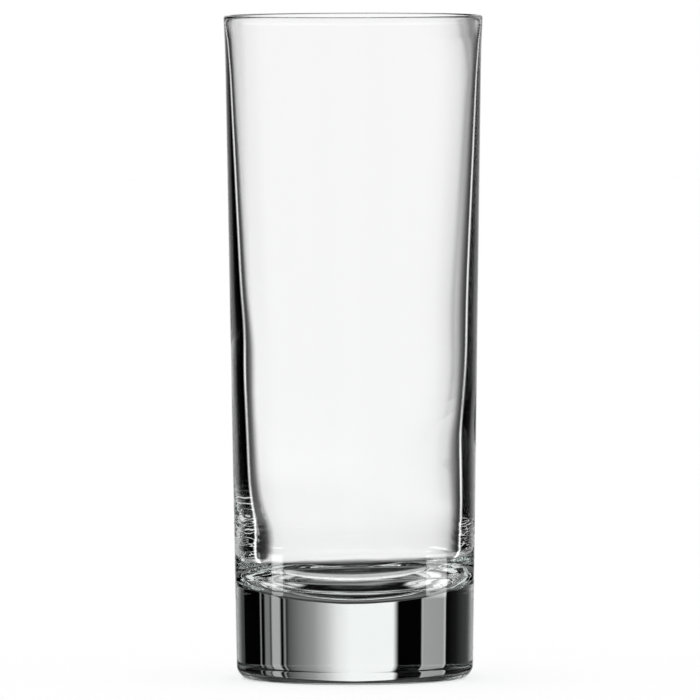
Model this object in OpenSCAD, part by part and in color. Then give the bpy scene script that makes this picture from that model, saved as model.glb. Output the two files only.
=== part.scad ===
// Highball tumbler: straight, thick-footed drinking glass, formed in one piece.
// Origin at the middle of the foot, on the table. +Z is up. Lengths in millimetres.

/* [Overall] */
// Height from the table to the top of the lip
height = 160; // [120:1:200]
// Diameter across the lip, the widest part of the glass
mouth_d = 62.5; // [58:0.5:76]
// Diameter across the foot, where the outer wall's line meets the table
foot_d = 57; // [52:0.5:66]

/* [Lip] */
// Thickness of the fire-polished lip, a full round
lip_t = 1.6; // [1.2:0.1:2.6]
// How far the lip stands out from the outer wall's straight line
lip_flare = 0.25; // [0:0.05:1]
// Height over which the outer wall turns out to the lip
flare_h = 14; // [6:1:30]
// Height over which the inner wall turns in to the lip
neck_h = 5; // [3:0.5:15]

/* [Wall] */
// Thickness of the straight wall, carried up to the lip's height
wall_top_t = 1.15; // [0.9:0.05:2]
// Thickness of the straight wall, carried down to the floor's height
wall_low_t = 4.5; // [2:0.1:7]

/* [Floor] */
// Thickness of the glass under the middle of the floor
floor_t = 18.5; // [8:0.5:30]
// Radius of the dished floor inside the glass
dish_r = 50; // [36:1:120]
// Radius of the rounded corner between the floor and the wall
corner_r = 11; // [6:0.5:18]

/* [Foot] */
// Radius of the rounded heel round the outside of the foot
heel_r = 3.2; // [1:0.1:6]
// Width of the flat ring that the glass stands on
ring_w = 3; // [1:0.1:6]
// Height of the shallow hollow under the foot
hollow_h = 0.9; // [0.3:0.1:3]

/* [Hidden] */
$fn = 180;

// Greatest turn between two points of a round stretch, in degrees
arc_step = 3;
// Steps along the wall's two gentle turns at the lip
turn_steps = 8;

// Outer wall: a straight taper from the foot to the lip
foot_r = foot_d / 2;
mouth_r = mouth_d / 2;
taper = atan((mouth_r - lip_flare - foot_r) / height);

// Lip: a full round whose top is the top of the glass
lip_r = lip_t / 2;
lip_c = [mouth_r - lip_r, height - lip_r];

// Inner wall: a straight taper, thin at the lip and thick at the floor
bore_low = [outer_line(floor_t) - wall_low_t, floor_t];
bore_top = [outer_line(height) - wall_top_t, height];
draft = atan((bore_top[0] - bore_low[0]) / (bore_top[1] - bore_low[1]));
bore_dir = [sin(draft), cos(draft)];
bore_in = [-cos(draft), sin(draft)];

// Floor: a dish whose lowest point is on the axis, and a round corner that
// touches both the dish and the inner wall
dish_c = [0, floor_t + dish_r];
to_wall = bore_low + corner_r * bore_in - dish_c;
along_wall = -to_wall * bore_dir
    - sqrt(pow(to_wall * bore_dir, 2) - to_wall * to_wall + pow(dish_r - corner_r, 2));
corner_c = dish_c + to_wall + along_wall * bore_dir;
floor_turn = atan2(corner_c[0] - dish_c[0], dish_c[1] - corner_c[1]);

// Foot: the heel touches the outer wall and the table
heel_c = [foot_r - heel_r * (1 - sin(taper)) / cos(taper), heel_r];
ring_in = heel_c[0] - ring_w;
hollow_r = (pow(ring_in, 2) + pow(hollow_h, 2)) / (2 * hollow_h);
hollow_turn = asin(ring_in / hollow_r);

// Radius of the outer wall's straight line at height z
function outer_line(z) = foot_r + z * tan(taper);

// Radius of the inner wall's straight line at height z
function bore_line(z) = bore_low[0] + (z - floor_t) * tan(draft);

// Points round a centre, from one angle to the other
function arc(centre, radius, from, to) =
    let (steps = max(2, ceil(abs(to - from) / arc_step)))
    [for (i = [0:steps]) let (a = from + (to - from) * i / steps)
        centre + radius * [cos(a), sin(a)]];

// Points of the outer wall's turn from its straight line out to the lip
function outer_turn() =
    [for (i = [0:turn_steps - 1]) let (share = i / turn_steps, z = lip_c[1] - flare_h * (1 - share))
        [outer_line(z) + (mouth_r - outer_line(lip_c[1])) * pow(share, 2), z]];

// Points of the inner wall's turn from the lip back to its straight line
function inner_turn() =
    [for (i = [turn_steps - 1:-1:0]) let (share = i / turn_steps, z = lip_c[1] - neck_h * (1 - share))
        [bore_line(z) + (mouth_r - lip_t - bore_line(lip_c[1])) * pow(share, 2), z]];

// Half section of the glass, from the foot's middle out, up, over the lip and down inside
module half_section() {
    polygon(concat(
        arc([0, hollow_h - hollow_r], hollow_r, 90, 90 - hollow_turn),
        arc(heel_c, heel_r, -90, -taper),
        outer_turn(),
        arc(lip_c, lip_r, 0, 180),
        inner_turn(),
        arc(corner_c, corner_r, -draft, floor_turn - 90),
        arc(dish_c, dish_r, floor_turn - 90, -90)
    ));
}

// The whole glass: wall, lip, floor and foot are one piece of glass
module glass_tumbler() {
    color([0.88, 0.93, 0.93, 0.5])
        rotate_extrude() half_section();
}

glass_tumbler();
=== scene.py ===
"""Highball tumbler: one piece of clear glass on a pale floor, in soft studio light."""

import logging
import math
from dataclasses import dataclass, field
from enum import Enum
from functools import cached_property

import bpy
from mathutils import Matrix, Vector, noise


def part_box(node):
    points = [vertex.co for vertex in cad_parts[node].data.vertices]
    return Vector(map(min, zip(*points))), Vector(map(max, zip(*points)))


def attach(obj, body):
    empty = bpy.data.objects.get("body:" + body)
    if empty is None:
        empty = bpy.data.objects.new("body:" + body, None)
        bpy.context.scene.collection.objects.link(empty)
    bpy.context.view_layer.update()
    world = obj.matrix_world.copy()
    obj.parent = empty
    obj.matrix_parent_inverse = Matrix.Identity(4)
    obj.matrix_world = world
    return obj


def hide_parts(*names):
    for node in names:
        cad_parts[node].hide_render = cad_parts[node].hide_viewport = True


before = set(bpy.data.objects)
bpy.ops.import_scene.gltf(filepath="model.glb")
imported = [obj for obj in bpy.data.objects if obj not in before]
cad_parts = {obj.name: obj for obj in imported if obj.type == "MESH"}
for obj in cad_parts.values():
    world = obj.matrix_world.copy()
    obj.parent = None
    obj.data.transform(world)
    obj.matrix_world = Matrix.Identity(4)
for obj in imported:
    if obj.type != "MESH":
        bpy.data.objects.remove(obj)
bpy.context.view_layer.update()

LOG = logging.getLogger("tumbler")

MM = 0.001
DEG = math.radians(1)
NODE = "glass_tumbler"

Tree = bpy.types.NodeTree
Socket = bpy.types.NodeSocket
Links = dict[str, Socket]

# Distance from the axis and height, in millimetres
Point = tuple[float, float]

# A place along a row of tones, in degrees or millimetres, and how bright the studio is there
Tone = tuple[float, float]


def linear(hex_colour: str) -> tuple[float, float, float, float]:
    """Turns an sRGB hex colour into the linear colour that the shaders take.

    Args:
        hex_colour: The colour as six hex digits.

    Returns:
        Red, green, blue and a full alpha.
    """
    shares = [int(hex_colour[i : i + 2], 16) / 255 for i in (0, 2, 4)]
    tones = [s / 12.92 if s <= 0.04045 else ((s + 0.055) / 1.055) ** 2.4 for s in shares]
    return (tones[0], tones[1], tones[2], 1.0)


def add_node(
    tree: Tree, kind: str, links: Links | None = None, **settings: object
) -> bpy.types.Node:
    """Adds one node with its settings and links.

    Args:
        tree: The tree that takes the node.
        kind: The node's type name.
        links: Input name or number to the output socket that feeds it.
        settings: Properties of the node, or input_NAME for an input's own value.

    Returns:
        The new node.
    """
    node = tree.nodes.new(kind)
    for name, value in settings.items():
        if name.startswith("input_"):
            key = name[len("input_") :]
            node.inputs[int(key) if key.isdigit() else key.replace("_", " ")].default_value = value
        else:
            setattr(node, name, value)
    for name, socket in (links or {}).items():
        tree.links.new(socket, node.inputs[int(name) if name.isdigit() else name])
    return node


def arc(centre: Point, radius: float, start: float, end: float, steps: int) -> list[Point]:
    """Points of a round stretch.

    Args:
        centre: The arc's centre.
        radius: The arc's radius.
        start: First angle in degrees, from the outward direction towards up.
        end: Last angle in degrees.
        steps: How many equal turns lie between the first and the last point.

    Returns:
        The points from the first angle to the last.
    """
    angles = [math.radians(start + (end - start) * i / steps) for i in range(steps + 1)]
    return [(centre[0] + radius * math.cos(a), centre[1] + radius * math.sin(a)) for a in angles]


def ease(value: float, span: float) -> float:
    """The share of a span that a value has gone through, from 0 to 1."""
    return min(1.0, max(0.0, value / span))


class Skin(Enum):
    """The two walls of the glass."""

    OUTER = "outer"
    INNER = "inner"


@dataclass(frozen=True)
class Swell:
    """A place where the glass flowed a little thicker or thinner before it set."""

    side_deg: float
    height: float
    rise: float
    spread: float
    skin: Skin = Skin.INNER

    def offset(self, side: float, height: float) -> float:
        """How far the wall moves in here.

        Args:
            side: Direction round the axis, in radians.
            height: Height above the table in millimetres.

        Returns:
            The move towards the axis, in millimetres.
        """
        facing = max(0.0, math.cos(side - math.radians(self.side_deg)))
        return self.rise * facing * math.exp(-(((height - self.height) / self.spread) ** 2))


@dataclass(frozen=True)
class Chill:
    """The fine wrinkles that the cold mould leaves over the foot, deepest on the two sides."""

    low: float = 17.0
    high: float = 44.0
    low_fade: float = 5.0
    high_fade: float = 10.0
    length: float = 6.0
    pitch: float = 0.8
    depth: float = 0.012
    side_depth: float = 0.06
    side_power: int = 6
    cut: float = 0.05

    def offset(self, side: float, height: float, radius: float) -> float:
        """How far the outer wall moves in here.

        Args:
            side: Direction round the axis, in radians.
            height: Height above the table in millimetres.
            radius: The foot's radius.

        Returns:
            The move towards the axis, in millimetres.
        """
        fade = ease(height - self.low, self.low_fade) * ease(self.high - height, self.high_fade)
        if fade == 0.0:
            return 0.0
        across, along = (radius * f(side) / self.length for f in (math.cos, math.sin))
        wave = noise.noise(Vector((across, along, height / self.pitch)))
        depth = self.depth + self.side_depth * math.cos(side) ** self.side_power
        return depth * fade * max(0.0, wave + self.cut)


@dataclass(frozen=True)
class ClearGlass:
    """Soda-lime glass, machine formed and fire-polished.

    It is all but colourless through the thin wall and takes a faint grey-green tone only in the
    thick foot. The surface is mirror smooth, with a very soft orange peel left by the mould.
    """

    name: str = "clear_soda_lime_glass"
    ior: float = 1.52
    foot_tint: str = "F2F6F5"
    tint_depth: float = 60.0
    peel_size: float = 9.0
    peel_height: float = 0.004

    def build(self) -> bpy.types.Material:
        """Makes the material.

        Returns:
            The finished material.
        """
        material = bpy.data.materials.new(self.name)
        material.use_nodes = True
        tree = material.node_tree
        tree.nodes.clear()
        place = add_node(tree, "ShaderNodeTexCoord")
        peel = add_node(
            tree,
            "ShaderNodeTexNoise",
            {"Vector": place.outputs["Object"]},
            input_Scale=1 / (self.peel_size * MM),
            input_Detail=2.0,
            input_Roughness=0.4,
        )
        bump = add_node(
            tree,
            "ShaderNodeBump",
            {"Height": peel.outputs["Fac"]},
            input_Strength=1.0,
            input_Distance=self.peel_height * MM,
        )
        glass = add_node(
            tree,
            "ShaderNodeBsdfPrincipled",
            {"Normal": bump.outputs["Normal"]},
            input_Base_Color=(1.0, 1.0, 1.0, 1.0),
            input_IOR=self.ior,
            input_Roughness=0.0,
            input_Transmission_Weight=1.0,
        )
        absorb = add_node(
            tree,
            "ShaderNodeVolumeAbsorption",
            input_Color=linear(self.foot_tint),
            input_Density=1 / (self.tint_depth * MM),
        )
        add_node(
            tree,
            "ShaderNodeOutputMaterial",
            {"Surface": glass.outputs["BSDF"], "Volume": absorb.outputs["Volume"]},
        )
        return material


@dataclass
class Tumbler:
    """The glass: wall, lip, dished floor and solid foot, all lengths in millimetres."""

    height: float
    mouth_d: float
    foot_d: float = 57.0
    lip_t: float = 1.6
    lip_flare: float = 0.25
    flare_h: float = 14.0
    neck_h: float = 5.0
    wall_top_t: float = 1.15
    wall_low_t: float = 4.5
    floor_t: float = 18.5
    dish_r: float = 50.0
    corner_r: float = 11.0
    heel_r: float = 3.2
    ring_w: float = 3.0
    hollow_h: float = 0.9
    turns: int = 288
    swells: tuple[Swell, ...] = (
        Swell(side_deg=180, height=80, rise=0.26, spread=9),
        Swell(side_deg=180, height=33, rise=0.9, spread=8),
        Swell(side_deg=0, height=73, rise=-0.32, spread=12),
        Swell(side_deg=0, height=56, rise=0.2, spread=7),
        Swell(side_deg=0, height=38, rise=-0.4, spread=8),
        Swell(side_deg=0, height=27, rise=-0.4, spread=5),
    )
    chill: Chill = field(default_factory=Chill)
    finish: ClearGlass = field(default_factory=ClearGlass)

    def outer_line(self, z: float) -> float:
        """Radius of the outer wall's straight line at height z."""
        return self.foot_d / 2 + z * (self.mouth_d / 2 - self.lip_flare - self.foot_d / 2) / self.height

    def bore_line(self, z: float) -> float:
        """Radius of the inner wall's straight line at height z."""
        low = self.outer_line(self.floor_t) - self.wall_low_t
        top = self.outer_line(self.height) - self.wall_top_t
        return low + (z - self.floor_t) * (top - low) / (self.height - self.floor_t)

    def lip_centre(self) -> Point:
        """Middle of the lip's full round."""
        return (self.mouth_d / 2 - self.lip_t / 2, self.height - self.lip_t / 2)

    def foot_points(self) -> list[Point]:
        """Points of the underside: the hollow, the bearing ring and the heel.

        Returns:
            The points from the axis out to the wall.
        """
        taper = math.atan((self.outer_line(self.height) - self.foot_d / 2) / self.height)
        heel = (self.foot_d / 2 - self.heel_r * (1 - math.sin(taper)) / math.cos(taper), self.heel_r)
        ring_in = heel[0] - self.ring_w
        hollow_r = (ring_in**2 + self.hollow_h**2) / (2 * self.hollow_h)
        turn = math.degrees(math.asin(ring_in / hollow_r))
        hollow_steps, heel_steps = 16, 18
        hollow = arc((0.0, self.hollow_h - hollow_r), hollow_r, 90, 90 - turn, hollow_steps)
        return hollow + arc(heel, self.heel_r, -90, -math.degrees(taper), heel_steps)

    def wall_points(self) -> list[Point]:
        """Points of the outer wall, close together in the chilled zone over the foot.

        Returns:
            The points from the heel up to the lip.
        """
        top = self.lip_centre()[1]
        foot_rows, foot_step = 8, 1.2
        chill_low, chill_high, chill_step, step = 15.0, 45.0, 0.3, 2.6
        heights = [self.heel_r + foot_step * i for i in range(1, foot_rows + 1)]
        z = chill_low
        while z < chill_high:
            heights.append(z)
            z += chill_step
        while z < top - self.flare_h:
            heights.append(z)
            z += step
        points = [(self.outer_line(z), z) for z in heights]
        steps = 14
        for i in range(steps):
            share = i / steps
            z = top - self.flare_h * (1 - share)
            turn = (self.mouth_d / 2 - self.outer_line(top)) * share**2
            points.append((self.outer_line(z) + turn, z))
        return points

    def bore_points(self) -> list[Point]:
        """Points of the inside: the neck under the lip, the wall, the corner and the dish.

        Returns:
            The points from the lip down to the middle of the floor.
        """
        top = self.lip_centre()[1]
        steps, points = 8, []
        for i in range(steps - 1, -1, -1):
            share = i / steps
            z = top - self.neck_h * (1 - share)
            turn = (self.mouth_d / 2 - self.lip_t - self.bore_line(top)) * share**2
            points.append((self.bore_line(z) + turn, z))
        draft = math.atan((self.bore_line(self.height) - self.bore_line(0)) / self.height)
        dish = Vector((0, self.floor_t + self.dish_r))
        low = Vector((self.bore_line(self.floor_t), self.floor_t))
        to_wall = low + self.corner_r * Vector((-math.cos(draft), math.sin(draft))) - dish
        up = Vector((math.sin(draft), math.cos(draft)))
        along = -to_wall.dot(up) - math.sqrt(
            to_wall.dot(up) ** 2 - to_wall.length_squared + (self.dish_r - self.corner_r) ** 2
        )
        corner = dish + to_wall + along * up
        turn = math.degrees(math.atan2(corner.x, dish.y - corner.y))
        wall_end = corner.y - self.corner_r * math.sin(draft)
        step = 2.0
        z = top - self.neck_h - step
        while z > wall_end + step / 2:
            points.append((self.bore_line(z), z))
            z -= step
        low_turn, corner_steps, dish_steps = -math.degrees(draft), 28, 22
        points += arc((corner.x, corner.y), self.corner_r, low_turn, turn - 90, corner_steps)
        points += arc((0.0, dish.y), self.dish_r, turn - 90, -90, dish_steps)[1:]
        return points

    def half_section(self) -> bpy.types.Object:
        """Lays the half section out as a line of vertices in the XZ plane, in metres.

        Returns:
            An object whose mesh holds the section from the foot's middle round to the floor's.
        """
        lip_steps = 20
        lip = arc(self.lip_centre(), self.lip_t / 2, 0, 180, lip_steps)
        points = self.foot_points() + self.wall_points() + lip + self.bore_points()
        mesh = bpy.data.meshes.new("half_section")
        mesh.from_pydata([(x * MM, 0.0, z * MM) for x, z in points], [], [])
        section = bpy.data.objects.new("half_section", mesh)
        bpy.context.scene.collection.objects.link(section)
        return section

    def lathe_tree(self) -> Tree:
        """Builds the Geometry Nodes tree that turns a half section round the Z axis.

        Returns:
            The tree, with inputs for the section, the number of turns, the seam and the finish.
        """
        tree = bpy.data.node_groups.new("lathe", "GeometryNodeTree")
        face = tree.interface
        face.new_socket("Section", in_out="INPUT", socket_type="NodeSocketGeometry")
        face.new_socket("Turns", in_out="INPUT", socket_type="NodeSocketInt")
        face.new_socket("Seam", in_out="INPUT", socket_type="NodeSocketFloat")
        face.new_socket("Finish", in_out="INPUT", socket_type="NodeSocketMaterial")
        face.new_socket("Glass", in_out="OUTPUT", socket_type="NodeSocketGeometry")
        given = add_node(tree, "NodeGroupInput").outputs
        count = add_node(
            tree, "GeometryNodeAttributeDomainSize", {"Geometry": given["Section"]}, component="MESH"
        )
        turns = Signal(tree, given["Turns"])
        columns = turns + 1.0
        grid = add_node(
            tree,
            "GeometryNodeMeshGrid",
            {"Vertices X": count.outputs["Point Count"], "Vertices Y": columns.socket},
        )
        index = Signal(tree, add_node(tree, "GeometryNodeInputIndex").outputs[0])
        row = (index / columns).calc("FLOOR")
        angle = index.calc("MODULO", columns) / turns * math.tau
        position = add_node(tree, "GeometryNodeInputPosition")
        sample = add_node(
            tree,
            "GeometryNodeSampleIndex",
            {"Geometry": given["Section"], "Value": position.outputs[0], "Index": row.socket},
            data_type="FLOAT_VECTOR",
            domain="POINT",
        )
        placed = add_node(
            tree,
            "ShaderNodeVectorRotate",
            {"Vector": sample.outputs[0], "Angle": angle.socket},
            rotation_type="Z_AXIS",
        )
        turned_grid = add_node(
            tree,
            "GeometryNodeSetPosition",
            {"Geometry": grid.outputs["Mesh"], "Position": placed.outputs[0]},
        )
        closed = add_node(
            tree,
            "GeometryNodeMergeByDistance",
            {"Geometry": turned_grid.outputs[0], "Distance": given["Seam"]},
        )
        outward = add_node(tree, "GeometryNodeFlipFaces", {"Mesh": closed.outputs[0]})
        smooth = add_node(tree, "GeometryNodeSetShadeSmooth", {"Geometry": outward.outputs[0]})
        real = add_node(tree, "GeometryNodeRealizeInstances", {"Geometry": smooth.outputs[0]})
        dressed = add_node(
            tree,
            "GeometryNodeSetMaterial",
            {"Geometry": real.outputs[0], "Material": given["Finish"]},
        )
        add_node(tree, "NodeGroupOutput", {"0": dressed.outputs[0]})
        return tree

    def turned_mesh(self, material: bpy.types.Material) -> bpy.types.Mesh:
        """Turns the half section into the closed glass.

        Args:
            material: The finish that the tree sets.

        Returns:
            A plain mesh, free of modifiers.
        """
        section = self.half_section()
        tree = self.lathe_tree()
        modifier = section.modifiers.new("lathe", "NODES")
        modifier.node_group = tree
        values = {"Turns": self.turns, "Seam": 0.002 * MM, "Finish": material}
        for item in tree.interface.items_tree:
            if item.in_out == "INPUT" and item.name in values:
                modifier[item.identifier] = values[item.name]
        graph = bpy.context.evaluated_depsgraph_get()
        mesh = bpy.data.meshes.new_from_object(section.evaluated_get(graph))
        section.modifiers.clear()
        bpy.data.objects.remove(section)
        return mesh

    def settle(self, mesh: bpy.types.Mesh) -> None:
        """Gives both walls the small unevenness of glass that flowed before it set.

        Args:
            mesh: The turned glass, changed in place.
        """
        low, high = self.floor_t, self.height - self.flare_h
        wall_share, low_fade, high_fade = 0.9, 12.0, 24.0
        for vertex in mesh.vertices:
            x, y, z = (c / MM for c in vertex.co)
            radius, side = math.hypot(x, y), math.atan2(y, x)
            if radius < self.bore_line(low) * wall_share:
                continue
            middle = (self.outer_line(z) + self.bore_line(z)) / 2
            skin = Skin.OUTER if radius > middle else Skin.INNER
            fade = ease(z - low, low_fade) * ease(high - z, high_fade)
            move = sum(s.offset(side, z) for s in self.swells if s.skin is skin) * fade
            if skin is Skin.OUTER:
                move += self.chill.offset(side, z, self.foot_d / 2)
            if move:
                vertex.co.x -= move * math.cos(side) * MM
                vertex.co.y -= move * math.sin(side) * MM

    def build(self) -> bpy.types.Object:
        """Makes the glass and dresses it.

        Returns:
            The finished piece.
        """
        mesh = self.turned_mesh(self.finish.build())
        self.settle(mesh)
        piece = bpy.data.objects.new("tumbler", mesh)
        bpy.context.scene.collection.objects.link(piece)
        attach(piece, "root")
        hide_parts(NODE)
        return piece


@dataclass(frozen=True)
class Signal:
    """A number or a grey tone in a node tree. Arithmetic on it adds the nodes that work it out."""

    tree: Tree
    socket: Socket

    def calc(self, operation: str, *others: "Signal | float") -> "Signal":
        """Works out one number from this one.

        Args:
            operation: The operation's name in Blender.
            others: The operation's further numbers, plain or from the tree.

        Returns:
            The result.
        """
        node = add_node(self.tree, "ShaderNodeMath", {"0": self.socket}, operation=operation)
        for place, other in enumerate(others, 1):
            if isinstance(other, Signal):
                self.tree.links.new(other.socket, node.inputs[place])
            else:
                node.inputs[place].default_value = other
        return Signal(self.tree, node.outputs[0])

    def __add__(self, other: "Signal | float") -> "Signal":
        """The sum."""
        return self.calc("ADD", other)

    def __sub__(self, other: "Signal | float") -> "Signal":
        """The difference."""
        return self.calc("SUBTRACT", other)

    def __mul__(self, other: "Signal | float") -> "Signal":
        """The product."""
        return self.calc("MULTIPLY", other)

    def __truediv__(self, other: "Signal | float") -> "Signal":
        """The quotient."""
        return self.calc("DIVIDE", other)

    def __gt__(self, other: "Signal | float") -> "Signal":
        """1 where this is the greater, else 0."""
        return self.calc("GREATER_THAN", other)

    def __lt__(self, other: "Signal | float") -> "Signal":
        """1 where this is the smaller, else 0."""
        return self.calc("LESS_THAN", other)

    def __abs__(self) -> "Signal":
        """The value without its sign."""
        return self.calc("ABSOLUTE")

    def step(self, start: float, end: float, unit: float = 1.0) -> "Signal":
        """A soft step from 0 at start to 1 at end.

        Args:
            start: Where the step begins.
            end: Where it is done.
            unit: What 1 in start and end is worth here.

        Returns:
            The share of the step.
        """
        node = add_node(
            self.tree,
            "ShaderNodeMapRange",
            {"Value": self.socket},
            interpolation_type="SMOOTHSTEP",
            input_1=start * unit,
            input_2=end * unit,
        )
        return Signal(self.tree, node.outputs[0])

    def tones(self, row: tuple[Tone, ...], unit: float = DEG) -> "Signal":
        """Reads a row of tones at this place.

        Args:
            row: The tones in the order of their places.
            unit: What 1 in a tone's place is worth here.

        Returns:
            The tone.
        """
        first, last = row[0][0], row[-1][0]
        share = add_node(
            self.tree,
            "ShaderNodeMapRange",
            {"Value": self.socket},
            input_1=first * unit,
            input_2=last * unit,
        )
        ramp = add_node(self.tree, "ShaderNodeValToRGB", {"Fac": share.outputs[0]})
        stops = ramp.color_ramp.elements
        while len(stops) < len(row):
            stops.new(1.0)
        for stop, (place, level) in zip(stops, row):
            stop.position = (place - first) / (last - first)
            stop.color = (level, level, level, 1.0)
        return Signal(self.tree, ramp.outputs["Color"])

    def blend(self, first: "Signal", second: "Signal | float") -> "Signal":
        """Blends two tones by this share.

        Args:
            first: The tone where the share is 0.
            second: The tone where it is 1, plain or from the tree.

        Returns:
            The blended tone.
        """
        node = add_node(
            self.tree, "ShaderNodeMix", {"0": self.socket, "6": first.socket}, data_type="RGBA"
        )
        if isinstance(second, Signal):
            self.tree.links.new(second.socket, node.inputs[7])
        else:
            node.inputs[7].default_value = (second, second, second, 1.0)
        return Signal(self.tree, node.outputs[2])


class Coordinates(Enum):
    """How a node tree tells where the light meets a thing."""

    OBJECT = "Object"
    WORLD = "Generated"


@dataclass
class Light:
    """The light that meets a thing in the studio, as measured in that thing's node tree.

    Light that crossed the bore went through a surface of the glass three times or more. Passages
    and mirrorings are whole numbers, so each limit lies halfway between two of them.
    """

    tree: Tree
    coordinates: Coordinates = Coordinates.OBJECT
    once: float = 0.5
    bore: float = 2.5
    often: float = 3.5
    quarter: float = 90 * DEG

    @cached_property
    def place(self) -> Socket:
        """Where the light meets the thing, or where it comes from in the world."""
        return add_node(self.tree, "ShaderNodeTexCoord").outputs[self.coordinates.value]

    @cached_property
    def axes(self) -> list[Signal]:
        """The place's coordinates: right, back and up."""
        axes = add_node(self.tree, "ShaderNodeSeparateXYZ", {"0": self.place})
        return [Signal(self.tree, axis) for axis in axes.outputs]

    @cached_property
    def bearing(self) -> Signal:
        """Radians to the right of straight back."""
        return self.axes[0].calc("ARCTAN2", self.axes[1])

    @cached_property
    def aside(self) -> Signal:
        """The bearing without its sign."""
        return abs(self.bearing)

    @cached_property
    def from_side(self) -> Signal:
        """The bearing from the middle of the nearest of the four screens."""
        return self.bearing.calc("WRAP", self.quarter / 2, -self.quarter / 2)

    @cached_property
    def counts(self) -> dict[str, Signal]:
        """What Light Path counts and tells, by its name."""
        paths = add_node(self.tree, "ShaderNodeLightPath")
        return {path.name: Signal(self.tree, path) for path in paths.outputs}

    @cached_property
    def mirrors(self) -> Signal:
        """How often the light was mirrored."""
        return self.counts["Glossy Depth"]

    @cached_property
    def mirrored(self) -> Signal:
        """1 for light that was mirrored at all."""
        return self.mirrors > self.once

    @cached_property
    def busy(self) -> Signal:
        """1 for light that has been round inside the glass many times."""
        return self.mirrors > self.often

    @cached_property
    def entered(self) -> Signal:
        """1 for light that was inside the glass."""
        return self.counts["Transmission Depth"] > self.once

    @cached_property
    def stayed(self) -> Signal:
        """1 for light that never crossed the bore."""
        return self.counts["Transmission Depth"] < self.bore

    @cached_property
    def crossed(self) -> Signal:
        """1 for light that crossed the bore."""
        return self.counts["Transmission Depth"] > self.bore

    @cached_property
    def bent(self) -> Signal:
        """1 for light that the glass bent or mirrored."""
        return self.counts["Is Transmission Ray"].calc("MAXIMUM", self.counts["Is Glossy Ray"])

    @cached_property
    def marks(self) -> Signal:
        """How many clear bands the light went through, leaving out the floor."""
        return self.counts["Transparent Depth"] - (self.axes[2] < 0.0)


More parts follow.
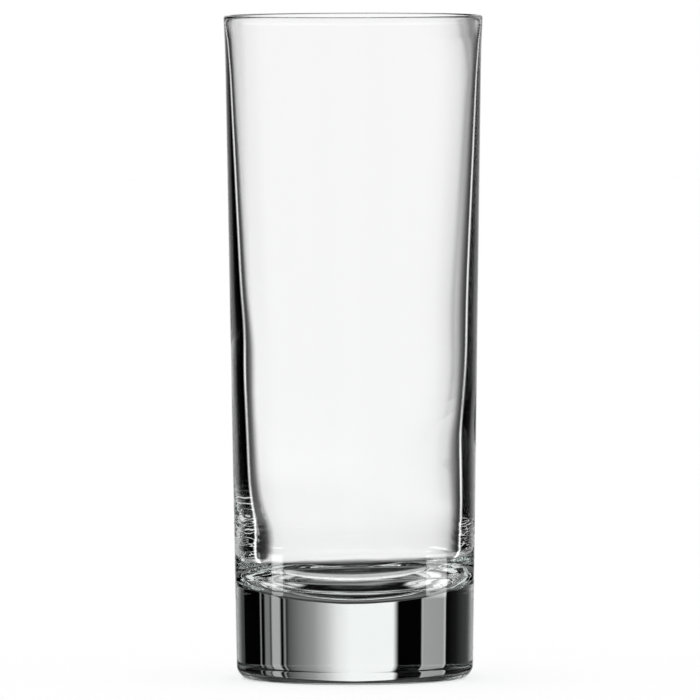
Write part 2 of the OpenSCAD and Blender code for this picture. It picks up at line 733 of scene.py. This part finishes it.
@dataclass
class Studio:
    """The pale floor, the light and the camera.

    A bearing is in degrees to the right of straight back, and a pitch in degrees above level. A
    white screen stands on each of the four sides, with black flags and grey cards beside it. The
    solid foot turns light inwards and the hollow wall turns it outwards, so the two look at
    different cards. Light that only glances off the front meets the dark room.
    """

    floor_size: float = 8.0
    white: float = 1.06
    tent_white: float = 1.0
    pale: float = 0.9
    stray_loss: float = 0.9
    painted_band_gain: float = 1.9
    board_waver: float = 3.0
    board_curl: float = 12.4
    end_share: float = 0.55
    strip_level: float = 5.5
    slat_pace: float = 6.5
    slat_level: float = 0.8
    wide_radius: float = 2800.0
    low_tops: tuple[float, ...] = (38.0, 44.0, 50.0, 58.0)

    # What light from the foot sees, by bearing: ahead, and beyond 60 degrees aside
    foot_cards: tuple[Tone, ...] = (
        (-60, 0.06), (-48, 0.01), (-39.2, 0.0), (-38.5, 0.6), (-37.2, 0.34), (-25.8, 0.36),
        (-25.2, 0.5), (-24.4, 0.0), (-14.8, 0.0), (-13.0, 1.0), (1.5, 1.0), (5.7, 0.84),
        (9.8, 0.53), (14.1, 0.31), (18.9, 0.205), (24.2, 0.09), (25.6, 0.0), (26.2, 0.3),
        (27.2, 0.0), (28.2, 0.0), (29.0, 0.42), (33.2, 0.42), (34.0, 0.0), (35.2, 0.2),
        (37.8, 0.2), (38.6, 0.0), (40.6, 0.0), (41.3, 0.3), (42.2, 0.0), (60, 0.0),
    )
    side_cards: tuple[Tone, ...] = (
        (0, 0.0), (48, 0.0), (60, 0.05), (66, 0.12), (72, 0.45), (78, 1.0), (102, 1.0),
        (106, 0.0), (180, 0.0),
    )

    # What light across the bore sees, by bearing from the nearest screen: high up, and low down
    wall_cards: tuple[Tone, ...] = (
        (-45, 0.0), (-30, 0.03), (-24, 0.07), (-21.5, 0.1), (-19.6, 0.19), (-17.9, 0.5),
        (-16.4, 0.78), (-15.2, 1.02), (-14, 1.08), (-11, 1.04), (-8, 1.0), (3, 1.0), (5, 0.96),
        (7.8, 0.84), (8.6, 0.79), (9.2, 0.7), (9.9, 0.55), (11, 0.44), (12, 0.53), (14, 0.46),
        (16, 0.29), (17, 0.22), (19, 0.15), (21, 0.12), (24, 0.07), (30, 0.03), (45, 0.0),
    )
    low_cards: tuple[Tone, ...] = (
        (-45, 0.0), (-30, 0.02), (-24, 0.04), (-21.5, 0.08), (-19.6, 0.17), (-17.9, 0.45),
        (-16.4, 0.7), (-15.2, 0.96), (-14, 1.03), (-1, 1.03), (4, 0.99), (9, 0.94), (12, 0.88),
        (13.6, 0.8), (15.2, 0.62), (17.2, 0.36), (19.8, 0.15), (23.3, 0.03), (30, 0.02),
        (45, 0.0),
    )

    # What light inside the wall sees: cloth and table by bearing, slit and glow from the slit
    skin_cards: tuple[Tone, ...] = (
        (0, 1.0), (11, 1.0), (19, 0.6), (23, 0.3), (29, 0.15), (33, 0.03), (36, 0.0), (84, 0.0),
        (98, 0.4), (135, 0.4), (160, 0.25), (180, 0.25),
    )
    table_cards: tuple[Tone, ...] = ((0, 0.26), (45, 0.26), (60, 1.0), (180, 1.0))
    line_cards: tuple[Tone, ...] = (
        (-3.0, 0.0), (-1.5, 0.25), (-0.5, 0.8), (0.5, 1.2), (2, 1.2), (3.2, 0.4), (4.5, 0.08),
        (6, 0.0),
    )
    line_glow: tuple[Tone, ...] = ((4.5, 0.0), (9, 0.1), (15, 0.5), (22, 1.0))

    # What light sees that glances off the front, by bearing: cards, strip lights and dark room
    front_cards: tuple[Tone, ...] = (
        (0, 1.0), (11, 1.0), (21, 0.6), (25, 0.3), (29, 0.1), (33, 0.0), (70, 0.0), (79, 0.9),
        (180, 0.9),
    )
    strip_cards: tuple[Tone, ...] = (
        (-180, 0.0), (-114, 0.0), (-113, 1.0), (-101.5, 0.9), (-100.5, 0.0), (88, 0.0),
        (89, 0.9), (113, 1.0), (114, 0.0), (180, 0.0),
    )
    room_tones: tuple[Tone, ...] = (
        (0, 1.0), (10, 0.6), (14, 0.3), (18, 0.1), (22, 0.0), (180, 0.0),
    )

    # What is above and below the cards, by pitch; below, the ground darkens steeply downward as painted
    # shadow of the glass on the floor near its foot
    sky_tones: tuple[Tone, ...] = (
        (20, 0.01), (50, 0.01), (54, 0.06), (58, 0.45), (63, 0.8), (69, 1.0), (78, 0.6),
        (90, 0.4),
    )
    ground_shadow_tones: tuple[Tone, ...] = (
        (-90, 0.01), (-68, 0.01), (-64, 0.05), (-60, 0.14), (-53, 0.14), (-45.5, 0.3),
        (-38.6, 0.55), (-33, 0.85), (-27, 0.95), (-12, 1.0),
    )
    foot_shadow_tones: tuple[Tone, ...] = (
        (-60, 0.0), (-42, 0.0), (-36, 0.19), (-32, 0.19), (-28, 0.06), (-21, 0.04), (-16, 0.09),
        (-12, 0.09),
    )

    # Painted light and shade on the board under the foot, standing in for the light and shadow the foot
    # throws, from front to back, for light across the bore and for the rest
    crossed_painted_bands: tuple[Tone, ...] = (
        (-28, 0.6), (-12, 1.0), (-8, 0.8), (-5, 0.53), (-1.7, 0.36), (2, 0.46), (6.4, 0.32),
        (9, 0.06), (11.4, 0.015), (16, 0.0), (28, 0.01),
    )
    inner_painted_bands: tuple[Tone, ...] = (
        (-28, 0.15), (-26.4, 0.34), (-24.6, 0.1), (-22.7, 0.05), (-20.8, 0.12), (-19, 0.18),
        (-17.2, 0.05), (-15.3, 0.002), (-3, 0.002), (-0.8, 0.04), (4, 0.2), (28, 0.15),
    )

    def build_world(self) -> None:
        """Makes the world: white for the camera, and the studio's cards for what the glass bends."""
        world = bpy.data.worlds.new("studio")
        bpy.context.scene.world = world
        world.use_nodes = True
        tree = world.node_tree
        tree.nodes.clear()
        light = Light(tree, Coordinates.WORLD)
        pitch = light.axes[2].calc("ARCSINE")
        ring = self.cards(light)
        sky_slant, sky_low, sky_high = 0.27, 21.5, 24.0
        above = (pitch + light.aside * sky_slant).step(sky_low, sky_high, DEG)
        seen = above.blend(ring, pitch.tones(self.sky_tones))
        # Below the cards the ground carries painted shadow of the glass, darker the steeper it looks
        # down
        turned = pitch.tones(self.foot_shadow_tones) * light.stayed
        ground = light.mirrored.blend(ring * pitch.tones(self.ground_shadow_tones), turned)
        ground_high, ground_low = -12.0, -17.0
        seen = pitch.step(ground_high, ground_low, DEG).blend(seen, ground)
        straight = light.mirrors < light.once
        seen = (self.pale_share(light, pitch) * straight).blend(seen, self.pale)
        seen = light.busy.blend(seen, self.louvres(light))
        first_hand = light.counts["Diffuse Depth"] < light.once
        plain = add_node(tree, "ShaderNodeBackground", input_Color=(1.0, 1.0, 1.0, 1.0))
        cards = add_node(
            tree, "ShaderNodeBackground", {"Color": seen.socket}, input_Strength=self.white
        )
        mixed = add_node(
            tree,
            "ShaderNodeMixShader",
            {
                "0": (light.bent * first_hand).socket,
                "1": plain.outputs[0],
                "2": cards.outputs[0],
            },
        )
        add_node(tree, "ShaderNodeOutputWorld", {"Surface": mixed.outputs[0]})

    def cards(self, light: Light) -> Signal:
        """The screens, flags and cards round the glass, for what looks roughly level.

        Args:
            light: The light that meets the world.

        Returns:
            The tone of each direction.
        """
        ahead_end = 60 * DEG
        foot = (light.aside > ahead_end).blend(
            light.bearing.tones(self.foot_cards), light.aside.tones(self.side_cards)
        )
        wall = light.from_side.tones(self.wall_cards) * self.share_kept(light, light.once)
        seen = light.crossed.blend(foot, wall)
        outside = light.counts["Transmission Depth"] < light.once
        return (light.mirrored * outside).blend(seen, light.aside.tones(self.room_tones))

    def build_screens(self) -> None:
        """Stands the round screens about the glass, the clear bands and the board under it, which glows
        with painted light and shade.

        The wide screen carries flags, for light that has crossed the bore. The near one is dark
        cloth with one bright slit, for light that the bore turned back inside the wall. Light
        counts the clear bands that it passes, which tells how low it left the glass: the band
        round the foot marks the foot's own light, which passes the near screen.
        """
        self.build_wide_screen()
        for number, top in enumerate(self.low_tops):
            self.clear_band(f"low_band_{number}", radius=145.0 - number, low=-50.0, high=top)
        self.build_near_screen()
        self.clear_band("foot_band", radius=33.0, low=-5.0, high=20.0)
        self.build_painted_board()

    def build_wide_screen(self) -> None:
        """Stands the wide screen, whose flags change from high to low on the glass."""
        light = Light(self.screen("wide_screen", self.wide_radius, low=-580.0, high=500.0))
        low = light.marks.step(1.0, 1.0 + len(self.low_tops))
        tone = low.blend(self.wall_tone(light), light.from_side.tones(self.low_cards))
        pitch = light.axes[2].calc("ARCTAN2", self.wide_radius * MM)
        tone = self.pale_share(light, pitch).blend(tone, self.pale)
        self.hang(light.tree, light.crossed, tone * self.share_kept(light, light.once))

    def build_near_screen(self) -> None:
        """Stands the near screen, for light inside the wall and light off the wall's front."""
        light = Light(self.screen("near_screen", 150.0, low=-50.0, high=175.0))
        height, marks = light.axes[2], light.marks
        for top in self.low_tops:
            marks = marks - (height < top * MM)
        twice = 1.5
        skin = self.skin_tone(light) * self.share_kept(light, twice)
        shoulder, under_shoulder = 30.0, 24.5
        facing, turned_away = 50.0, 60.0
        veiled = height.step(shoulder, under_shoulder, MM)
        veiled = veiled * light.aside.step(facing, turned_away, DEG)
        front = veiled.blend(
            light.aside.tones(self.front_cards), light.aside.tones(self.room_tones)
        )
        tone = light.entered.blend(front + self.strip_tone(light), skin)
        tone = light.busy.blend(tone, self.louvres(light))
        self.hang(light.tree, light.mirrored * light.stayed * (marks < light.once), tone)

    def clear_band(self, name: str, radius: float, low: float, high: float) -> None:
        """Stands a clear band about the glass, which light only counts as it passes.

        Args:
            name: The band's name.
            radius: Its radius in millimetres.
            low: The height of its lower edge.
            high: The height of its upper edge.
        """
        tree = self.screen(name, radius, low, high)
        clear = add_node(tree, "ShaderNodeBsdfTransparent")
        add_node(tree, "ShaderNodeOutputMaterial", {"Surface": clear.outputs[0]})

    def build_painted_board(self) -> None:
        """Lays the board under the foot, which glows with painted bands of light and shade in place of
        the light and shadow that the foot throws on it.
        """
        radius, height, steps = 28.4, -0.2, 180
        turns = [math.tau * i / steps for i in range(steps)]
        rim = [(radius * math.cos(t) * MM, radius * math.sin(t) * MM, height * MM) for t in turns]
        light = Light(self.sheet("painted_light_board", rim, [tuple(range(steps))]))
        streaks_per_metre = (60.0, 300.0, 1.0)
        squashed = add_node(
            light.tree, "ShaderNodeMapping", {"Vector": light.place}, input_Scale=streaks_per_metre
        )
        noisy = add_node(
            light.tree,
            "ShaderNodeTexNoise",
            {"Vector": squashed.outputs[0]},
            input_Scale=1.0,
            input_Detail=2.0,
        )
        streaks = Signal(light.tree, noisy.outputs[0])
        across, along = light.axes[0], light.axes[1]
        waver = (streaks - 0.5) * (self.board_waver * MM)
        depth = along + waver + across * across * -self.board_curl
        end_in, end_out, front_edge, back_edge = 15.5, 19.0, -12.0, -8.0
        gap, streak = 0.3, 0.65
        ends = abs(across).step(end_in, end_out, MM) * along.step(front_edge, back_edge, MM)
        ends = ends * (streaks.step(gap, streak) * self.end_share)
        # The board's bright and dark bands are painted light and shade under the foot, given off by the
        # board itself
        inner = ends.blend(depth.tones(self.inner_painted_bands, MM), self.pale)
        tone = light.crossed.blend(inner, depth.tones(self.crossed_painted_bands, MM)) * self.painted_band_gain
        self.hang(light.tree, light.mirrored.calc("MAXIMUM", light.crossed), tone)

    def strip_tone(self, light: Light) -> Signal:
        """The two strip lights whose reflections stand on the foot's shoulder.

        Args:
            light: The light that meets the screen.

        Returns:
            The light at each place of the screen.
        """
        height = light.axes[2]
        low, low_full, high_full, high = 9.0, 11.0, 19.0, 21.5
        span = height.step(low, low_full, MM) * height.step(high, high_full, MM)
        return light.bearing.tones(self.strip_cards) * (span * self.strip_level)

    def share_kept(self, light: Light, limit: float) -> Signal:
        """Dims stray light, which the glass has mirrored more often than the limit."""
        return (light.mirrors > limit) * -self.stray_loss + 1.0

    def screen(self, name: str, radius: float, low: float, high: float) -> Tree:
        """Makes a round screen that neither the camera nor the floor sees.

        Args:
            name: The screen's name.
            radius: Its radius in millimetres.
            low: The height of its lower edge.
            high: The height of its upper edge.

        Returns:
            The screen's node tree, which is empty.
        """
        steps = 240
        corners, faces = [], []
        for i in range(steps):
            turn = math.tau * i / steps
            x, y = radius * math.sin(turn) * MM, radius * math.cos(turn) * MM
            corners += [(x, y, low * MM), (x, y, high * MM)]
            after = (i + 1) % steps
            faces.append((2 * i, 2 * i + 1, 2 * after + 1, 2 * after))
        return self.sheet(name, corners, faces)

    def sheet(
        self, name: str, corners: list[tuple[float, ...]], faces: list[tuple[int, ...]]
    ) -> Tree:
        """Makes a sheet that neither the camera nor the floor sees.

        Args:
            name: The sheet's name.
            corners: Its corners in metres.
            faces: Its faces, as numbers of corners.

        Returns:
            The sheet's node tree, which is empty.
        """
        mesh = bpy.data.meshes.new(name)
        mesh.from_pydata(corners, [], faces)
        cloth = bpy.data.objects.new(name, mesh)
        bpy.context.scene.collection.objects.link(cloth)
        cloth.visible_camera = False
        cloth.visible_diffuse = False
        cloth.visible_shadow = False
        material = bpy.data.materials.new(name)
        material.use_nodes = True
        material.node_tree.nodes.clear()
        mesh.materials.append(material)
        return material.node_tree

    def hang(self, tree: Tree, share: Signal, tone: Signal) -> None:
        """Gives a screen its tones, and leaves it clear for all other light.

        Args:
            tree: The screen's tree.
            share: 1 for the light that meets the screen.
            tone: The tone at each place.
        """
        glow = add_node(
            tree, "ShaderNodeEmission", {"Color": tone.socket}, input_Strength=self.tent_white
        )
        open_air = add_node(tree, "ShaderNodeBsdfTransparent")
        mixed = add_node(
            tree,
            "ShaderNodeMixShader",
            {"0": share.socket, "1": open_air.outputs[0], "2": glow.outputs[0]},
        )
        add_node(tree, "ShaderNodeOutputMaterial", {"Surface": mixed.outputs[0]})

    def wall_tone(self, light: Light) -> Signal:
        """The flags that light through the bore meets.

        The right one leans in towards the top, and the left one leans out a little.

        Args:
            light: The light that meets the screen.

        Returns:
            The tone at each place of the screen.
        """
        lean, left_lean, even_height, lowest, highest = 2.6, 0.7, -0.0194, -0.03, 0.13
        side = light.from_side
        place = light.axes[2].calc("MAXIMUM", lowest).calc("MINIMUM", highest)
        slope = (side > 0.0) * (-lean - left_lean) + left_lean
        spread = (place - even_height) * slope + 1.0
        return (side / spread).tones(self.wall_cards)

    def slit_place(self, light: Light) -> Signal:
        """Where the slit stands at each height, in radians aside.

        Args:
            light: The light that meets the screen.

        Returns:
            The slit's bearing without its sign.
        """
        level_deg, slope_deg, bend_deg, right_deg = 56.9, 27.6, -1276.0, 1.5
        height = light.axes[2]
        bend = height * height * (bend_deg * DEG)
        slope = height * (slope_deg * DEG)
        shift = (light.bearing > 0.0) * (-right_deg * DEG)
        return bend + slope + shift + level_deg * DEG

    def skin_tone(self, light: Light) -> Signal:
        """The dark cloth, slit and slats, for light that the bore turned back inside the wall.

        Args:
            light: The light that meets the screen.

        Returns:
            The tone at each place of the screen.
        """
        height, aside = light.axes[2], light.aside
        from_slit = aside - self.slit_place(light)
        glow_low, glow_high, right_drop = 22.0, 36.0, 9.0
        glow = from_slit.tones(self.line_glow) * height.step(glow_low, glow_high, MM)
        lowered = height + (light.bearing > 0.0) * (-right_drop * MM)
        table_high, table_low = -10.0, -16.0
        table = lowered.step(table_high, table_low, MM) * aside.tones(self.table_cards)
        slat_edge, slat_full, slats_end, slats_full = 0.7, 0.98, 22.0, 16.0
        side_end, side_full = 62.0, 56.0
        wave = (height * (math.tau / (self.slat_pace * MM))).calc("SINE")
        slats = wave.step(slat_edge, slat_full) * lowered.step(slats_end, slats_full, MM)
        slats = slats * aside.step(side_end, side_full, DEG) * self.slat_level
        cloth = aside.tones(self.skin_cards) + from_slit.tones(self.line_cards)
        return cloth + glow + slats + table

    def louvres(self, light: Light) -> Signal:
        """White slats on black, for light that has been round inside the glass many times."""
        slats, dark_edge, white_edge = 5.0, -0.05, 0.25
        return (light.bearing * slats).calc("SINE").step(dark_edge, white_edge)

    def pale_share(self, light: Light, pitch: Signal) -> Signal:
        """Where the glass sees pale floor: low down, on the four diagonals.

        Args:
            light: The light that meets the world or the screen.
            pitch: The pitch in radians.

        Returns:
            The share of pale floor in each direction.
        """
        edge, full, high, low = 0.86, 0.96, -7.0, -10.0
        diagonal = abs((light.bearing * 2.0).calc("SINE"))
        return diagonal.step(edge, full) * pitch.step(high, low, DEG)

    def build_floor(self) -> bpy.types.Object:
        """Makes the pale floor, which keeps the glass's shadow and runs out into the white backdrop.

        Returns:
            The floor.
        """
        half = self.floor_size / 2
        mesh = bpy.data.meshes.new("floor")
        corners = [(-half, -half, 0), (half, -half, 0), (half, half, 0), (-half, half, 0)]
        mesh.from_pydata(corners, [], [(0, 1, 2, 3)])
        floor = bpy.data.objects.new("floor", mesh)
        bpy.context.scene.collection.objects.link(floor)
        material = bpy.data.materials.new("pale_board")
        material.use_nodes = True
        tree = material.node_tree
        tree.nodes.clear()
        board = add_node(tree, "ShaderNodeBsdfDiffuse", input_Color=linear("FFFFFF"))
        clear = add_node(tree, "ShaderNodeBsdfTransparent")
        mixed = add_node(
            tree,
            "ShaderNodeMixShader",
            {"0": Light(tree).bent.socket, "1": board.outputs[0], "2": clear.outputs[0]},
        )
        add_node(tree, "ShaderNodeOutputMaterial", {"Surface": mixed.outputs[0]})
        mesh.materials.append(material)
        return floor

    def build_camera(self, middle: Vector) -> bpy.types.Object:
        """Stands the camera where the photograph was taken from.

        Args:
            middle: The point that the picture's centre shows, in metres.

        Returns:
            The camera, set as the scene's own.
        """
        distance, height, picture_width, lean_deg = 3.2, 0.217, 0.16884, 0.166
        lens = bpy.data.cameras.new("camera")
        camera = bpy.data.objects.new("camera", lens)
        bpy.context.scene.collection.objects.link(camera)
        camera.location = Vector((0.0, -distance, height))
        look = middle - camera.location
        lens.sensor_width = 36.0
        lens.lens = lens.sensor_width * look.length / picture_width
        lens.clip_end = 100.0
        turn = look.to_track_quat("-Z", "Y").to_matrix().to_4x4()
        camera.matrix_world = (
            Matrix.Translation(camera.location) @ turn @ Matrix.Rotation(math.radians(-lean_deg), 4, "Z")
        )
        bpy.context.scene.camera = camera
        return camera


def main() -> None:
    """Builds the glass and the studio, and reports each."""
    logging.basicConfig(level=logging.INFO, format="%(name)s: %(message)s")
    low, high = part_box(NODE)
    glass = Tumbler(height=(high.z - low.z) / MM, mouth_d=(high.x - low.x) / MM)
    piece = glass.build()
    LOG.info("%s: %d faces", piece.name, len(piece.data.polygons))
    studio = Studio()
    studio.build_world()
    studio.build_floor()
    studio.build_screens()
    picture_middle = Vector((-0.00096, 0.0, 0.0792))
    studio.build_camera(picture_middle)
    scene = bpy.context.scene
    scene.view_settings.view_transform = "Standard"
    scene.cycles.max_bounces = 24
    scene.cycles.glossy_bounces = 16
    scene.cycles.transmission_bounces = 24
    scene.cycles.blur_glossy = 0.0
    LOG.info("studio: floor, world and camera")


if __name__ == "__main__":
    main()
